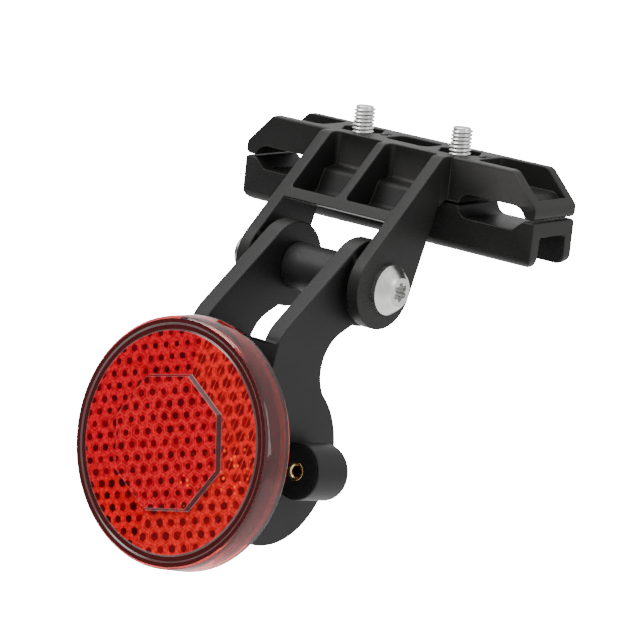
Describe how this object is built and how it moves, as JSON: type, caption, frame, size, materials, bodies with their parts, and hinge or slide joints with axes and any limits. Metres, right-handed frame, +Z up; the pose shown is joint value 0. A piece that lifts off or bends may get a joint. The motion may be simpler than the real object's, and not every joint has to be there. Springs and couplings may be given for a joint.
{
  "type": "bicycle saddle reflector",
  "caption": "Round red reflector on a tilting fork arm with serrated ears, under a two-jaw clamp that grips a saddle's two rails.",
  "frame": {"origin": "centre of the clamp: mid-plane, in the screws' plane, halfway between the closed jaws", "axes": "+X across the bicycle along the jaws, +Y forwards along the saddle's rails, +Z up; the reflector faces -Y"},
  "size_m": [0.1, 0.1001, 0.1136],
  "materials": {
    "cast_black": "fine-textured satin black moulding",
    "sleeve_black": "satin",
    "fastener_steel": "bright zinc plated",
    "insert_brass": "bright, machined",
    "lens_red": "clear red, with moulded prisms behind",
    "plate_grey": "smooth",
    "ring_nylon": "milky"
  },
  "bodies": {
    "clamp": {"upper_clamp": "cast_black", "clamp_nut_left": "fastener_steel", "clamp_nut_right": "fastener_steel", "pivot_bolt": "fastener_steel", "pivot_washer": "fastener_steel", "pivot_nut": "fastener_steel", "pivot_nut_ring": "ring_nylon"},
    "lower_jaw": {"lower_jaw": "cast_black", "clamp_washer_left": "fastener_steel", "clamp_washer_right": "fastener_steel"},
    "screw_left": {"clamp_screw_left": "fastener_steel"},
    "screw_right": {"clamp_screw_right": "fastener_steel"},
    "arm": {"fork_arm": "cast_black", "spacer_sleeve": "sleeve_black", "sleeve_washer": "fastener_steel", "insert_left": "insert_brass", "insert_right": "insert_brass", "reflector_lens": "lens_red", "reflector_back": "plate_grey", "reflector_stud": "fastener_steel", "stud_washer": "fastener_steel", "stud_nut": "fastener_steel", "stud_nut_ring": "ring_nylon"}
  },
  "joints": [
    {"name": "arm_tilt", "type": "hinge", "parent": "clamp", "child": "arm", "pos_m": [0, -0.0306, -0.0217], "axis": [1, 0, 0], "range_deg": [-45, 60]},
    {"name": "jaw_slide", "type": "slide", "parent": "clamp", "child": "lower_jaw", "axis": [0, 0, -1], "range_m": [0, 0.008]},
    {"name": "screw_left_turn", "type": "hinge", "parent": "lower_jaw", "child": "screw_left", "pos_m": [-0.0168, 0, 0], "axis": [0, 0, -1], "range_deg": [0, 2881]},
    {"name": "screw_right_turn", "type": "hinge", "parent": "lower_jaw", "child": "screw_right", "pos_m": [0.0168, 0, 0], "axis": [0, 0, -1], "range_deg": [0, 2881]}
  ],
  "couplings": [
    {"joint": "screw_left_turn", "follows": "jaw_slide", "rad_per_m": 6283.2},
    {"joint": "screw_right_turn", "follows": "jaw_slide", "rad_per_m": 6283.2}
  ]
}
